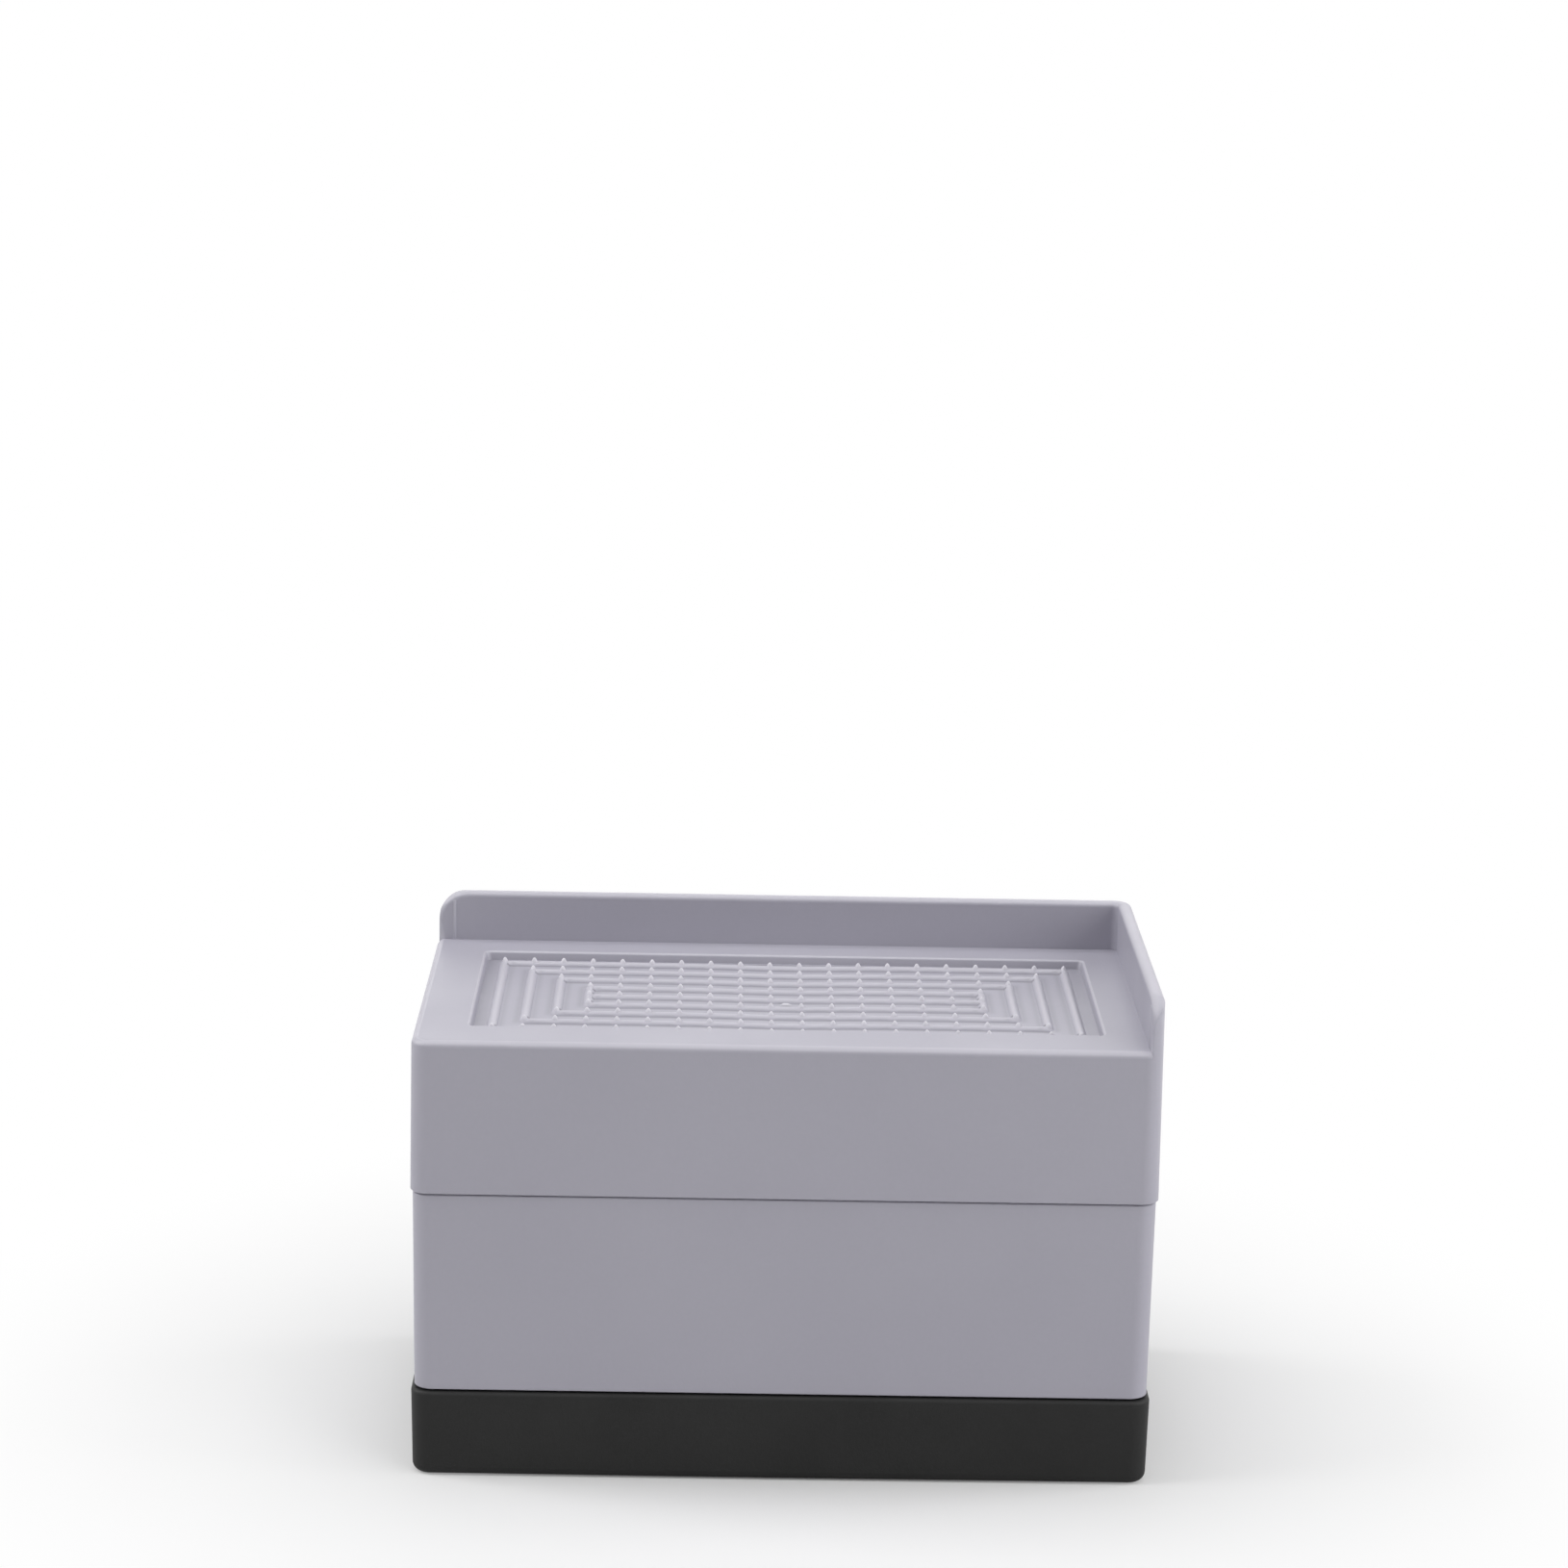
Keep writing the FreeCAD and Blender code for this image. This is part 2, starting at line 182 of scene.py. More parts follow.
class NodeSheet:
    """A shader node tree with short ways to add and join nodes."""

    def __init__(self, tree: bpy.types.NodeTree) -> None:
        """Take a tree to work on.

        Args:
            tree: the node tree of a material, a world or a group.
        """
        self.tree = tree

    def add(self, kind: str, values: dict[str | int, object] | None = None,
            **settings: object) -> bpy.types.Node:
        """Add a node.

        Args:
            kind: the node's type name in Blender.
            values: input sockets to set or to link, by name or by number.
            settings: the node's own properties.

        Returns:
            The new node.
        """
        node = self.tree.nodes.new(kind)
        for name, value in settings.items():
            setattr(node, name, value)
        for key, value in (values or {}).items():
            if isinstance(value, bpy.types.NodeSocket):
                self.tree.links.new(value, node.inputs[key])
            else:
                node.inputs[key].default_value = value
        return node

    def math(self, operation: str, first: object, second: object = 0.0) -> bpy.types.NodeSocket:
        """Work out one value from two.

        Args:
            operation: the Math node's operation.
            first: a socket or a number.
            second: a socket or a number.

        Returns:
            The socket that holds the result.
        """
        return self.add("ShaderNodeMath", {0: first, 1: second}, operation=operation).outputs[0]

    def mix(self, share: bpy.types.NodeSocket, first: object, second: object) -> bpy.types.NodeSocket:
        """Mix two colours.

        Args:
            share: how much of the second colour there is.
            first: a socket or a colour.
            second: a socket or a colour.

        Returns:
            The socket that holds the mixed colour.
        """
        values = {MIX_SHARE: share, MIX_FIRST_COLOUR: first, MIX_SECOND_COLOUR: second}
        return self.add("ShaderNodeMix", values, data_type="RGBA").outputs[MIX_RESULT_COLOUR]

    def noise(self, vector: bpy.types.NodeSocket, scale: object, detail: float,
              roughness: float = 0.5) -> bpy.types.NodeSocket:
        """Read a noise texture.

        Args:
            vector: where to read it.
            scale: cells for each metre.
            detail: octaves.
            roughness: how strong the finer octaves are.

        Returns:
            The socket that holds the noise, about one half on average.
        """
        values = {"Vector": vector, "Scale": scale, "Detail": detail, "Roughness": roughness}
        return self.add("ShaderNodeTexNoise", values).outputs["Fac"]

    def spread(self, value: bpy.types.NodeSocket, low: object, high: object,
               start: float = 0.3, end: float = 0.7) -> bpy.types.NodeSocket:
        """Map a value smoothly onto a range, as a rule a noise.

        Args:
            value: the value to map.
            low: what the range starts with.
            high: what it ends with.
            start: the value that gives the low end.
            end: the value that gives the high end.

        Returns:
            The socket that holds the mapped value.
        """
        values = {0: value, 1: start, 2: end, 3: low, 4: high}
        return self.add("ShaderNodeMapRange", values, interpolation_type="SMOOTHSTEP").outputs[0]


def empty_sheet(owner: bpy.types.Material | bpy.types.World) -> NodeSheet:
    """Start the shader of a material or a world.

    Args:
        owner: the material or the world.

    Returns:
        The sheet of its node tree, with no nodes on it.
    """
    owner.use_nodes = True
    owner.node_tree.nodes.clear()
    return NodeSheet(owner.node_tree)


def new_group(name: str, inputs: dict[str, str], outputs: dict[str, str]) -> tuple[NodeSheet, dict]:
    """Start a shader node group.

    Args:
        name: the group's name.
        inputs: socket types of its inputs, by name.
        outputs: socket types of its outputs, by name.

    Returns:
        The group's sheet, and its input sockets by name.
    """
    tree = bpy.data.node_groups.new(name, "ShaderNodeTree")
    for socket, kind in inputs.items():
        tree.interface.new_socket(socket, in_out="INPUT", socket_type=kind)
    for socket, kind in outputs.items():
        tree.interface.new_socket(socket, in_out="OUTPUT", socket_type=kind)
    sheet = NodeSheet(tree)
    entry = sheet.add("NodeGroupInput")
    return sheet, {socket: entry.outputs[socket] for socket in inputs}


def mould_texture_group(fine_step: float = 3.1, fine_share: float = 0.4) -> bpy.types.NodeTree:
    """Build the texture that an eroded steel mould leaves on a moulded face.

    Args:
        fine_step: how many times finer the second grain is.
        fine_share: how high the second grain is, next to the first.

    Returns:
        A group from a place, a grain scale and a patch scale to a height and a patchy gloss.
    """
    value, vector = "NodeSocketFloat", "NodeSocketVector"
    sheet, given = new_group(
        "mould_texture",
        {"Place": vector, "Grain Scale": value, "Patch Scale": value},
        {"Height": value, "Gloss Patch": value})
    grain = sheet.noise(given["Place"], given["Grain Scale"], detail=2.0)
    fine_scale = sheet.math("MULTIPLY", given["Grain Scale"], fine_step)
    fine = sheet.noise(given["Place"], fine_scale, detail=1.0)
    height = sheet.math("ADD", grain, sheet.math("MULTIPLY", fine, fine_share))
    patch = sheet.noise(given["Place"], given["Patch Scale"], detail=3.0, roughness=0.6)
    sheet.add("NodeGroupOutput", {"Height": height, "Gloss Patch": patch})
    return sheet.tree


def tone_drift_group(speck_step: float = 60.0, speck_share: float = 0.25) -> bpy.types.NodeTree:
    """Build the slight drift of tone that a melt leaves as it fills the mould.

    Args:
        speck_step: how many times finer the specks are than the drift.
        speck_share: how much of the change of tone is in the specks.

    Returns:
        A group from a place, two tones and a scale to a colour.
    """
    value, vector, colour = "NodeSocketFloat", "NodeSocketVector", "NodeSocketColor"
    sheet, given = new_group(
        "tone_drift",
        {"Place": vector, "Light Tone": colour, "Deep Tone": colour, "Scale": value},
        {"Color": colour})
    broad = sheet.noise(given["Place"], given["Scale"], detail=2.0)
    speck_scale = sheet.math("MULTIPLY", given["Scale"], speck_step)
    speck = sheet.noise(given["Place"], speck_scale, detail=2.0)
    share = sheet.math("ADD", sheet.spread(broad, 0.0, 1.0 - speck_share),
                       sheet.spread(speck, 0.0, speck_share))
    mixed = sheet.mix(share, given["Light Tone"], given["Deep Tone"])
    sheet.add("NodeGroupOutput", {"Color": mixed})
    return sheet.tree


@dataclass(frozen=True)
class TreadPaintedLight:
    """Painted highlights on edges, ridges and dots, and painted shade beside the ridges."""

    highlight_tone: Colour
    dust_tone: Colour

    def colour(self, sheet: NodeSheet, unpainted: bpy.types.NodeSocket) -> bpy.types.NodeSocket:
        """Paint highlights and shade onto a colour.

        Args:
            sheet: the tree to add the nodes to.
            unpainted: the colour before highlights and shade are painted on it.

        Returns:
            The socket that holds the colour with painted highlights and shade.
        """
        painted = unpainted
        # Mix in the painted highlights with a pale tone, then the painted shade with a dark tone.
        for painted_light, tone in ((PaintedLight.HIGHLIGHT, self.highlight_tone), (PaintedLight.SHADE, self.dust_tone)):
            share = sheet.add("ShaderNodeAttribute", attribute_name=painted_light.value).outputs["Fac"]
            painted = sheet.mix(share, painted, tone)
        return painted


@dataclass(frozen=True)
class MouldedFinish:
    """A finish that comes out of a textured mould.

    Attributes:
        name: the material's name.
        slot: the record's slot for it; not used.
        light_tone: the lighter end of its drift of tone.
        deep_tone: the deeper end.
        tone_scale: cells of the drift for each metre.
        grain_scale: cells of the mould's grain for each metre.
        grain_depth: how deep the grain is.
        patch_scale: cells of the patches of gloss for each metre.
        smooth_roughness: the roughness of the glossier patches.
        dull_roughness: the roughness of the duller ones.
        refraction: the index of refraction.
        gleam: how strongly the surface mirrors.
        painted_light: the highlights and shade painted on it, where it has them.
    """

    name: str
    slot: Slot
    light_tone: Colour
    deep_tone: Colour
    tone_scale: float
    grain_scale: float
    grain_depth: float
    patch_scale: float
    smooth_roughness: float
    dull_roughness: float
    refraction: float
    gleam: float
    painted_light: TreadPaintedLight | None = None

    def material(self, texture: bpy.types.NodeTree, drift: bpy.types.NodeTree) -> bpy.types.Material:
        """Build the material.

        Args:
            texture: the mould texture group.
            drift: the tone drift group.

        Returns:
            The finished material.
        """
        made = bpy.data.materials.new(self.name)
        sheet = empty_sheet(made)
        place = sheet.add("ShaderNodeTexCoord").outputs["Object"]
        tone = sheet.add("ShaderNodeGroup", {
            "Place": place, "Light Tone": self.light_tone, "Deep Tone": self.deep_tone,
            "Scale": self.tone_scale}, node_tree=drift)
        grain = sheet.add("ShaderNodeGroup", {
            "Place": place, "Grain Scale": self.grain_scale, "Patch Scale": self.patch_scale},
            node_tree=texture)
        bump = sheet.add("ShaderNodeBump", {
            "Height": grain.outputs["Height"], "Strength": 1.0, "Distance": self.grain_depth})
        gloss = sheet.spread(grain.outputs["Gloss Patch"], self.smooth_roughness, self.dull_roughness)
        colour = tone.outputs["Color"]
        if self.painted_light:
            colour = self.painted_light.colour(sheet, colour)
        shader = sheet.add("ShaderNodeBsdfPrincipled", {
            "Base Color": colour, "Roughness": gloss, "Normal": bump.outputs["Normal"],
            "IOR": self.refraction, "Specular IOR Level": self.gleam})
        sheet.add("ShaderNodeOutputMaterial", {"Surface": shader.outputs["BSDF"]})
        return made


# Painted light: a pale tone stands in for highlights on edges, crests and dots, a dark tone for shade
# beside the ridges and in the recess.
PAINTED_LIGHT = TreadPaintedLight(highlight_tone=(0.70, 0.685, 0.74, 1.0), dust_tone=(0.225, 0.219, 0.255, 1.0))
PLASTIC = MouldedFinish(
    name="grey_lilac_plastic", slot=Slot.PLASTIC,
    light_tone=(0.405, 0.395, 0.455, 1.0), deep_tone=(0.385, 0.375, 0.435, 1.0), tone_scale=22.0,
    grain_scale=2600.0, grain_depth=0.012 * MM, patch_scale=45.0,
    smooth_roughness=0.43, dull_roughness=0.50, refraction=1.47, gleam=0.5, painted_light=PAINTED_LIGHT)
RUBBER = MouldedFinish(
    name="black_foot_rubber", slot=Slot.RUBBER,
    light_tone=(0.0112, 0.0112, 0.0112, 1.0), deep_tone=(0.0086, 0.0086, 0.0086, 1.0), tone_scale=35.0,
    grain_scale=1900.0, grain_depth=0.02 * MM, patch_scale=60.0,
    smooth_roughness=0.55, dull_roughness=0.68, refraction=1.5, gleam=0.3)


@dataclass
class PlainPiece:
    """A piece whose solid already has its finished shape and only takes a finish."""

    piece: Piece
    finish: MouldedFinish

    def dress(self, material: bpy.types.Material) -> bpy.types.Object:
        """Give the piece its material.

        Args:
            material: the finished material.

        Returns:
            The dressed object.
        """
        node = frame["nodes"][self.piece.value]
        node.data.materials.clear()
        node.data.materials.append(material)
        return node


@dataclass
class TreadPlatform:
    """The platform, its tread remodelled with rounded ridges and steep domed dots.

    Attributes:
        name: the finished object's name.
        finish: what the platform is moulded in; not used.
        pitch: from one ridge to the next, and from one dot to the next.
        border: about how far the outermost ridge lies inside the platform's outline.
        recess_depth: from the deck down to the recess's floor.
        ridge_height: how high a ridge stands over the floor.
        ridge_reach: from a ridge's crest to its foot.
        ridge_lines: where mesh lines follow a ridge's flank, as shares of its reach.
        ridge_highlight: the share of painted highlight on a ridge's crest.
        dot_height: how high a dot stands over its ridge.
        dot_reach: from a dot's tip to its foot.
        dot_lines: where mesh lines cross a dot, as shares of its reach.
        gate_place: the middle of the gate mark in plan.
        gate_height: how high the mark stands over the floor.
        gate_crest: from the mark's middle to the edge of its flat top.
        gate_reach: from the mark's middle to its foot.
        gate_lines: where mesh lines cross the mark, as shares of its reach.
        gate_highlight: the share of painted highlight on the mark.
        sag_depth: how far the middle of the tread has sunk.
        sag_reach: how far the sag spreads across.
        sheet_inset: from the edge of the recess's floor in to the remodelled tread.
        edge_depth: how far below the deck its edges take painted highlight, and how far above it the
            guard is.
        edge_highlight: the share of painted highlight on upper edges.
        edge_tilt: how far up a surface looks where that painted highlight sets in, and where it is full.
        dust_offset: from a ridge's foot to the thickest of the painted shade beside it.
        dust_reach: from there to where the painted shade ends.
        deep_dust: the painted shade beside a ridge that runs deep, next to one that runs across.
        border_dust: the share of painted shade between the outermost ridge and the recess's walls.
        dot_unshaded: how much of the painted shade is left out beside a dot.
        unshaded_reach: how far from a dot's tip painted shade is left out.
        unshaded_crest: how far from its crest a ridge is free of painted shade.
        weld: how close two points or levels count as one.
        smooth_angle: the sharpest edge that is shaded smooth.
    """

    name: str = "platform_moulding"
    finish: MouldedFinish = PLASTIC
    pitch: float = 5.0 * MM
    border: float = 12.3 * MM
    recess_depth: float = 1.45 * MM
    ridge_height: float = 0.5 * MM
    ridge_reach: float = 0.85 * MM
    ridge_lines: tuple[float, ...] = (0.75, 0.9, 1.0)
    ridge_highlight: float = 0.38
    dot_height: float = 0.65 * MM
    dot_reach: float = 0.5 * MM
    dot_lines: tuple[float, ...] = (0.0, 0.28, 0.52, 0.76, 0.93, 1.06)
    gate_place: tuple[float, float] = (0.0, -2.5 * MM)
    gate_height: float = 0.3 * MM
    gate_crest: float = 0.55 * MM
    gate_reach: float = 1.1 * MM
    gate_lines: tuple[float, ...] = (-0.95, -0.7, -0.4, 0.0, 0.4, 0.7, 0.95)
    gate_highlight: float = 0.6
    sag_depth: float = 0.22 * MM
    sag_reach: float = 11.0 * MM
    sheet_inset: float = 0.3 * MM
    edge_depth: float = 1.3 * MM
    edge_highlight: float = 0.32
    edge_tilt: tuple[float, float] = (0.3, 0.6)
    dust_offset: float = 0.5 * MM
    dust_reach: float = 0.8 * MM
    deep_dust: float = 0.3
    border_dust: float = 0.3
    dot_unshaded: float = 0.7
    unshaded_reach: float = 1.5 * MM
    unshaded_crest: float = 0.425 * MM
    weld: float = 0.001 * MM
    smooth_angle: float = math.radians(40.0)

    def __post_init__(self) -> None:
        """Take the plan and the levels from the frame, and lay out the lattice."""
        low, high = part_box(Piece.PLATFORM.value)
        seats = [mount for mount in frame["record"]["mounts"] if mount["axis"][2] > 0]
        self.deck_level: float = seats[0]["pos_m"][2]
        self.floor_level: float = self.deck_level - self.recess_depth
        spans = [high[axis.value] - low[axis.value] - 2 * self.border for axis in Axis]
        self.counts: list[int] = [int(span / self.pitch + 0.5) + 1 for span in spans]
        self.halves: list[float] = [(count - 1) * self.pitch / 2 for count in self.counts]
        self.frames: int = min(self.counts) // 2
        self.dust_line: float = self.ridge_reach + self.dust_offset
        points = [vertex.co for vertex in frame["nodes"][Piece.PLATFORM.value].data.vertices]
        floor = [point for point in points if self.on_floor(point)]
        self.reaches: list[float] = [max(abs(point[axis.value]) for point in floor) for axis in Axis]

    def on_floor(self, point: Vector) -> bool:
        """Tell whether a point of the solid lies on the recess's floor.

        Args:
            point: the point in the frame.

        Returns:
            True on the floor.
        """
        return (abs(point.z - self.floor_level) < self.weld
                and all(abs(point[axis.value]) < self.halves[axis.value] + self.pitch for axis in Axis))

    def in_recess(self, point: Vector) -> bool:
        """Tell whether a point of the solid lies on the recess's floor or on its tread.

        Args:
            point: the point in the frame.

        Returns:
            True on the floor and the tread, up to the feet of the recess's walls.
        """
        inside = all(abs(point[axis.value]) < self.reaches[axis.value] + self.weld for axis in Axis)
        return inside and self.floor_level - self.weld < point.z < self.deck_level

    def crossings(self, axis: Axis) -> list[float]:
        """List the places of the lattice's crossings along one direction.

        Args:
            axis: the direction.

        Returns:
            The places, from the lowest to the highest.
        """
        half = self.halves[axis.value]
        return [index * self.pitch - half for index in range(self.counts[axis.value])]

    def stations(self, axis: Axis) -> list[float]:
        """List where the tread's mesh has lines along one direction, close at each ridge and the gate.

        Args:
            axis: the direction.

        Returns:
            The places of the lines, from the lowest to the highest.
        """
        offsets = [share * self.dot_reach for share in self.dot_lines]
        offsets += [share * self.ridge_reach for share in self.ridge_lines]
        offsets += [self.dust_line, self.dust_line + self.dust_reach]
        signed = sorted({sign * offset for offset in offsets for sign in (-1.0, 1.0)})
        lines = [place + offset for place in self.crossings(axis) for offset in signed]
        lines += [self.gate_place[axis.value] + share * self.gate_reach for share in self.gate_lines]
        edge = self.reaches[axis.value] - self.sheet_inset
        inside = sorted(line for line in lines if abs(line) < edge - self.weld)
        return [-edge] + inside + [edge]

    def from_ridges(self, x: float, y: float) -> tuple[float, float]:
        """Work out how far the nearest ridges' crests are.

        Args:
            x: the place across.
            y: the place in depth.

        Returns:
            The distances in plan to the nearest ridge that runs across and to the nearest that runs deep.
        """
        across, deep = self.pitch, self.pitch
        for index in range(self.frames):
            beyond_x = abs(x) - (self.halves[0] - index * self.pitch)
            beyond_y = abs(y) - (self.halves[1] - index * self.pitch)
            if beyond_x <= 0.0:
                across = min(across, abs(beyond_y))
            deep = min(deep, math.hypot(beyond_x, max(beyond_y, 0.0)))
        innermost = self.halves[0] - (self.frames - 1) * self.pitch
        if abs(x) < innermost and self.counts[1] % 2:
            across = min(across, abs(y))
        return across, deep

    def ridge(self, x: float, y: float) -> float:
        """Work out how high the nearest ridge stands at a place.

        Args:
            x: the place across.
            y: the place in depth.

        Returns:
            The height over the recess's floor.
        """
        return self.ridge_height * hump(self.ridge_reach, min(self.from_ridges(x, y)))

    def from_dot(self, x: float, y: float) -> float:
        """Work out how far the dot on the nearest crossing is.

        Args:
            x: the place across.
            y: the place in depth.

        Returns:
            The distance in plan, or the whole pitch where that crossing has no dot.
        """
        from_left, from_front = x + self.halves[0], y + self.halves[1]
        column = min(max(round(from_left / self.pitch), 0), self.counts[0] - 1)
        row = min(max(round(from_front / self.pitch), 0), self.counts[1] - 1)
        first = min(row, self.counts[1] - 1 - row, self.frames - 1)
        if not first <= column <= self.counts[0] - 1 - first:
            return self.pitch
        return math.hypot(from_left - column * self.pitch, from_front - row * self.pitch)

    def dot(self, x: float, y: float) -> float:
        """Work out how high a dot stands over its ridge at a place.

        Args:
            x: the place across.
            y: the place in depth.

        Returns:
            The height over the ridge.
        """
        return self.dot_height * hump(self.dot_reach, self.from_dot(x, y))

    def gate(self, x: float, y: float) -> float:
        """Work out how much of the gate mark's height a place has.

        Args:
            x: the place across.
            y: the place in depth.

        Returns:
            One on the mark, nought away from it.
        """
        away = math.hypot(x - self.gate_place[0], y - self.gate_place[1])
        return smooth_fall(self.gate_crest, self.gate_reach, away)

    def level(self, x: float, y: float) -> float:
        """Work out the tread's surface at a place.

        Args:
            x: the place across.
            y: the place in depth.

        Returns:
            The level in the frame.
        """
        raised = max(self.ridge(x, y), self.gate_height * self.gate(x, y)) + self.dot(x, y)
        sag = self.sag_depth * math.exp(-(x / self.sag_reach) ** 2)
        sag *= smooth_fall(self.halves[1], self.reaches[1] - self.sheet_inset, abs(y))
        return self.floor_level + raised - sag

    def tread_highlight(self, x: float, y: float) -> float:
        """Work out how much painted highlight the tread takes at a place: most on its dots, less on
        ridges and gate mark.

        Args:
            x: the place across.
            y: the place in depth.

        Returns:
            The share of painted highlight.
        """
        # Painted highlight on ridge crests and dots.
        on_ridge = self.ridge_highlight * arch(self.ridge_reach, min(self.from_ridges(x, y)))
        on_dot = (1.0 - self.ridge_highlight) * arch(self.dot_reach, self.from_dot(x, y))
        return max(on_ridge + on_dot, self.gate_highlight * self.gate(x, y))

    def tread_dust(self, x: float, y: float) -> float:
        """Work out how much painted shade the tread takes at a place: beside the ridges and along the
        recess's border.

        Args:
            x: the place across.
            y: the place in depth.

        Returns:
            The share of painted shade.
        """
        away = self.from_ridges(x, y)
        # Painted shade in a band in front of each ridge's foot, weaker beside ridges that run deep.
        across, deep = (max(1.0 - abs(place - self.dust_line) / self.dust_reach, 0.0) for place in away)
        unpainted = self.dot_unshaded * smooth_fall(self.dot_reach, self.unshaded_reach, self.from_dot(x, y))
        dust = max(across, deep * self.deep_dust) * (1.0 - unpainted) * (min(away) > self.unshaded_crest)
        if max(abs(x) - self.halves[0], abs(y) - self.halves[1]) > self.ridge_reach:
            dust = max(dust, self.border_dust)
        return dust

    def edge_highlight_share(self, point: Vector, normal: Vector) -> float:
        """Work out how much painted highlight the solid takes: on the deck's rounded edges and the
        guard's top alone.

        Args:
            point: the point in the frame.
            normal: which way the surface looks there.

        Returns:
            The share of painted highlight.
        """
        over_deck = point.z - self.deck_level
        on_guard = over_deck > self.edge_depth
        on_edge = -self.edge_depth < over_deck < -self.weld
        # Painted highlight on the deck's edges and the guard's top where they look upwards.
        return (on_guard or on_edge) * self.edge_highlight * (1.0 - smooth_fall(*self.edge_tilt, normal.z))

    def copy_shell(self) -> bpy.types.Object:
        """Copy the platform's solid as one closed mesh and mark where highlights and shade are painted on
        it.

        Returns:
            The copy.
        """
        node = frame["nodes"][Piece.PLATFORM.value]
        shell = bpy.data.objects.new(self.name, node.data.copy())
        bpy.context.scene.collection.objects.link(shell)
        activate(shell)
        bpy.ops.mesh.customdata_custom_splitnormals_clear()
        bpy.ops.object.mode_set(mode="EDIT")
        bpy.ops.mesh.select_all(action="SELECT")
        bpy.ops.mesh.remove_doubles(threshold=self.weld)
        bpy.ops.mesh.select_all(action="DESELECT")
        bpy.ops.object.mode_set(mode="OBJECT")
        # Painted highlight on upper edges, painted shade on the recess's floor.
        mark_painted_light(shell.data, [{PaintedLight.HIGHLIGHT: self.edge_highlight_share(vertex.co, vertex.normal),
                                PaintedLight.SHADE: self.border_dust * self.on_floor(vertex.co)}
                               for vertex in shell.data.vertices])
        return shell

    def open_floor(self, shell: bpy.types.Object) -> None:
        """Take the floor and the tread out of the copy's recess.

        Args:
            shell: the copy of the solid, which is the active object.
        """
        points = [vertex.co for vertex in shell.data.vertices]
        for face in shell.data.polygons:
            face.select = all(self.in_recess(points[index]) for index in face.vertices)
        bpy.ops.object.mode_set(mode="EDIT")
        bpy.ops.mesh.delete(type="FACE")
        bpy.ops.object.mode_set(mode="OBJECT")

    def tread_sheet(self) -> bpy.types.Object:
        """Model the tread as a grid whose lines follow the ridges and dots.

        Returns:
            The sheet, open along its border.
        """
        across, deep = self.stations(Axis.ACROSS), self.stations(Axis.DEEP)
        columns, rows = len(across) - 1, len(deep) - 1
        deselect()
        bpy.ops.mesh.primitive_grid_add(x_subdivisions=columns, y_subdivisions=rows,
                                        size=1.0, location=(0.0, 0.0, 0.0))
        sheet = bpy.context.object
        places = [(across[round((vertex.co.x + 0.5) * columns)], deep[round((vertex.co.y + 0.5) * rows)])
                  for vertex in sheet.data.vertices]
        for vertex, (x, y) in zip(sheet.data.vertices, places):
            vertex.co = (x, y, self.level(x, y))
        # Painted highlights on ridges, dots and gate mark, painted shade beside the ridges.
        mark_painted_light(sheet.data, [{PaintedLight.HIGHLIGHT: self.tread_highlight(x, y), PaintedLight.SHADE: self.tread_dust(x, y)}
                               for x, y in places])
        return sheet

    def build(self) -> bpy.types.Object:
        """Join shell and tread into one closed moulding.

        Returns:
            The finished platform, riding on the frame.
        """
        shell = self.copy_shell()
        self.open_floor(shell)
        sheet = self.tread_sheet()
        activate(shell)
        sheet.select_set(True)
        bpy.ops.object.join()
        bpy.ops.object.mode_set(mode="EDIT")
        bpy.ops.mesh.select_mode(type="EDGE")
        bpy.ops.mesh.select_all(action="DESELECT")
        bpy.ops.mesh.select_non_manifold()
        bpy.ops.mesh.bridge_edge_loops()
        bpy.ops.object.mode_set(mode="OBJECT")
        bpy.ops.object.shade_smooth_by_angle(angle=self.smooth_angle, keep_sharp_edges=False)
        bpy.ops.object.modifier_add(type="WEIGHTED_NORMAL")
        shell.modifiers[-1].keep_sharp = True
        bpy.ops.object.modifier_apply(modifier=shell.modifiers[-1].name)
        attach(shell, "root")
        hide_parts(Piece.PLATFORM.value)
        return shell

    def dress(self, shell: bpy.types.Object, material: bpy.types.Material) -> None:
        """Give the platform its material.

        Args:
            shell: the finished platform.
            material: the finished material.
        """
        shell.data.materials.clear()
        shell.data.materials.append(material)


@dataclass(frozen=True)
class SoftLight:
    """A square soft box that looks at the riser, its place and side in metres, its power in watts."""

    name: str
    place: tuple[float, float, float]
    side: float
    power: float

    def hang(self, target: Vector) -> None:
        """Add the light to the scene.

        Args:
            target: what it looks at.
        """
        lamp = bpy.data.lights.new(self.name, "AREA")
        lamp.shape = "SQUARE"
        lamp.size = self.side
        lamp.energy = self.power
        hung = bpy.data.objects.new(self.name, lamp)
        bpy.context.scene.collection.objects.link(hung)
        hung.location = self.place
        hung.rotation_euler = (target - hung.location).to_track_quat("-Z", "Y").to_euler()


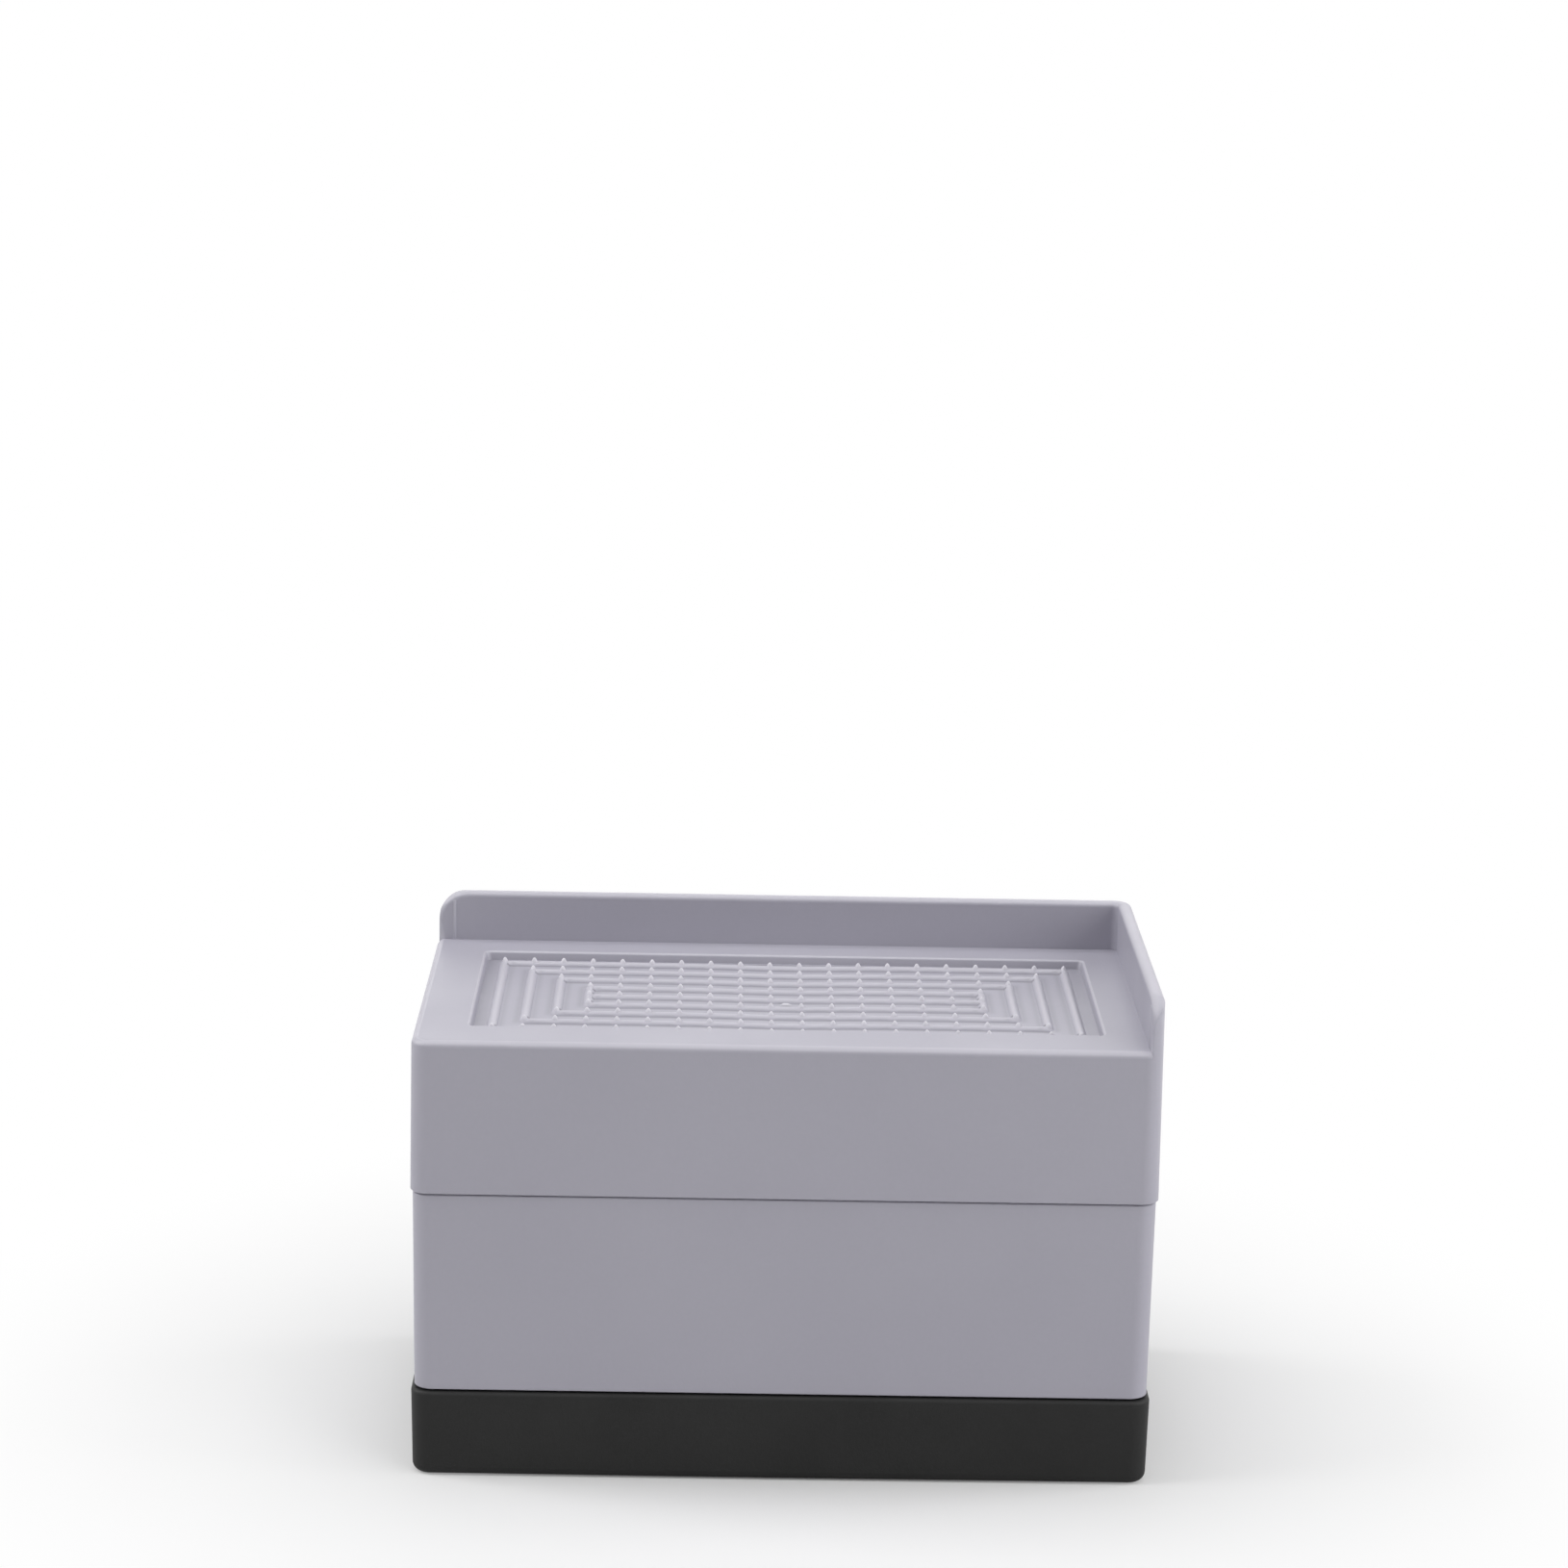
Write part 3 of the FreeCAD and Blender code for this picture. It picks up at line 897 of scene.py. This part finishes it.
@dataclass
class Studio:
    """A pale floor, soft boxes and a white surround.

    Attributes:
        lights: the soft boxes.
        surround: how strongly the surround lights what doesn't mirror it.
        floor_side: the floor's side.
        floor_tone: how pale the floor is.
        fade_start: how far from the middle the floor begins to turn plain white.
        fade_end: how far from the middle it is plain white.
    """

    lights: tuple[SoftLight, ...]
    surround: float
    floor_side: float = 6.0
    floor_tone: float = 0.8
    fade_start: float = 0.02
    fade_end: float = 0.16

    def seen_by_eye(self, sheet: NodeSheet) -> bpy.types.NodeSocket:
        """Tell the rays that see a backdrop from those that only light things.

        Args:
            sheet: the tree to add the nodes to.

        Returns:
            One for camera, glossy and transmission rays, and nought for the rest.
        """
        path = sheet.add("ShaderNodeLightPath").outputs
        seen = sheet.math("MAXIMUM", path["Is Camera Ray"], path["Is Glossy Ray"])
        return sheet.math("MAXIMUM", seen, path["Is Transmission Ray"])

    def lay_floor(self) -> None:
        """Lay the floor, lit near the riser and plain white farther out."""
        deselect()
        bpy.ops.mesh.primitive_plane_add(size=self.floor_side, location=(0.0, 0.0, 0.0))
        floor = bpy.context.object
        floor.name = "studio_floor"
        made = bpy.data.materials.new("pale_floor")
        sheet = empty_sheet(made)
        place = sheet.add("ShaderNodeTexCoord").outputs["Object"]
        away = sheet.add("ShaderNodeVectorMath", {0: place}, operation="LENGTH").outputs["Value"]
        far = sheet.spread(away, 0.0, 1.0, self.fade_start, self.fade_end)
        tone = (self.floor_tone,) * 3 + (1.0,)
        lit = sheet.add("ShaderNodeBsdfDiffuse", {"Color": tone}).outputs[0]
        white = sheet.add("ShaderNodeEmission", {"Color": WHITE, "Strength": 1.0}).outputs[0]
        share = sheet.math("MULTIPLY", far, self.seen_by_eye(sheet))
        mixed = sheet.add("ShaderNodeMixShader", {0: share, 1: lit, 2: white}).outputs[0]
        sheet.add("ShaderNodeOutputMaterial", {"Surface": mixed})
        floor.data.materials.append(made)

    def set_surround(self) -> None:
        """Set an even surround that is seen, and mirrored, as plain white."""
        world = bpy.data.worlds.new("studio_surround")
        bpy.context.scene.world = world
        sheet = empty_sheet(world)
        strength = sheet.math("MAXIMUM", self.seen_by_eye(sheet), self.surround)
        light = sheet.add("ShaderNodeBackground", {"Color": WHITE, "Strength": strength})
        sheet.add("ShaderNodeOutputWorld", {"Surface": light.outputs[0]})

    def set_up(self, target: Vector) -> None:
        """Build the whole studio.

        Args:
            target: what the lights look at.
        """
        self.lay_floor()
        self.set_surround()
        for light in self.lights:
            light.hang(target)
        bpy.context.scene.view_settings.view_transform = "Standard"


STUDIO = Studio(
    lights=(
        SoftLight("overhead_box", (0.0, 0.0, 1.2), 0.9, 4.9),
        SoftLight("overhead_front_box", (0.0, -0.6, 1.1), 0.9, 0.8),
        SoftLight("right_high_box", (0.85, 0.0, 0.9), 0.7, 1.6),
        SoftLight("right_box", (1.0, 0.0, 0.5), 0.7, 4.0),
        SoftLight("right_front_box", (0.8, -0.8, 0.5), 0.7, 4.4),
        SoftLight("left_high_box", (-0.85, 0.0, 0.9), 0.7, 6.0),
        SoftLight("left_box", (-1.0, 0.0, 0.5), 0.7, 3.2),
        SoftLight("back_box", (0.0, 1.1, 0.6), 0.8, 1.5),
        SoftLight("front_box", (0.0, -1.3, 0.6), 0.8, 1.3),
    ),
    surround=0.0)


@dataclass(frozen=True)
class PhotoCamera:
    """A camera that stands where the picture was taken from.

    Attributes:
        place: where it stands, in metres.
        yaw: how far it turns to the right, in degrees.
        pitch: how far it looks down, in degrees.
        roll: how far it leans about its line of sight, in degrees.
        sensor: the sensor's width, in millimetres.
        lens: the focal length, in millimetres.
        near: how close to it the view begins, in metres.
    """

    place: tuple[float, float, float] = (-0.01096, -0.66370, 0.26000)
    yaw: float = 0.859
    pitch: float = 12.879
    roll: float = 1.154
    sensor: float = 36.0
    lens: float = 95.62
    near: float = 0.01

    def set_up(self) -> None:
        """Add the camera and make it the scene's own."""
        data = bpy.data.cameras.new("photo_camera")
        data.sensor_width = self.sensor
        data.lens = self.lens
        data.clip_start = self.near
        camera = bpy.data.objects.new("photo_camera", data)
        bpy.context.scene.collection.objects.link(camera)
        level = Matrix.Rotation(math.radians(90.0 - self.pitch), 4, "X")
        turned = Matrix.Rotation(math.radians(-self.yaw), 4, "Z") @ level
        leaned = turned @ Matrix.Rotation(math.radians(self.roll), 4, "Z")
        camera.matrix_world = Matrix.Translation(self.place) @ leaned
        bpy.context.scene.camera = camera


def main() -> None:
    """Dress the riser, then set up the studio and the camera."""
    logging.basicConfig(level=logging.INFO, format="%(name)s: %(message)s")
    texture, drift = mould_texture_group(), tone_drift_group()
    plastic, rubber = PLASTIC.material(texture, drift), RUBBER.material(texture, drift)

    for piece, material in ((PlainPiece(Piece.FOOT, RUBBER), rubber),
                            (PlainPiece(Piece.BODY, PLASTIC), plastic)):
        node = piece.dress(material)
        LOG.info("%s takes %s", node.name, material.name)
    platform = TreadPlatform()
    moulding = platform.build()
    platform.dress(moulding, plastic)
    LOG.info("%s has %d faces", moulding.name, len(moulding.data.polygons))

    low, high = CAD_BOUNDS
    STUDIO.set_up((low + high) / 2)
    PhotoCamera().set_up()


if __name__ == "__main__":
    main()
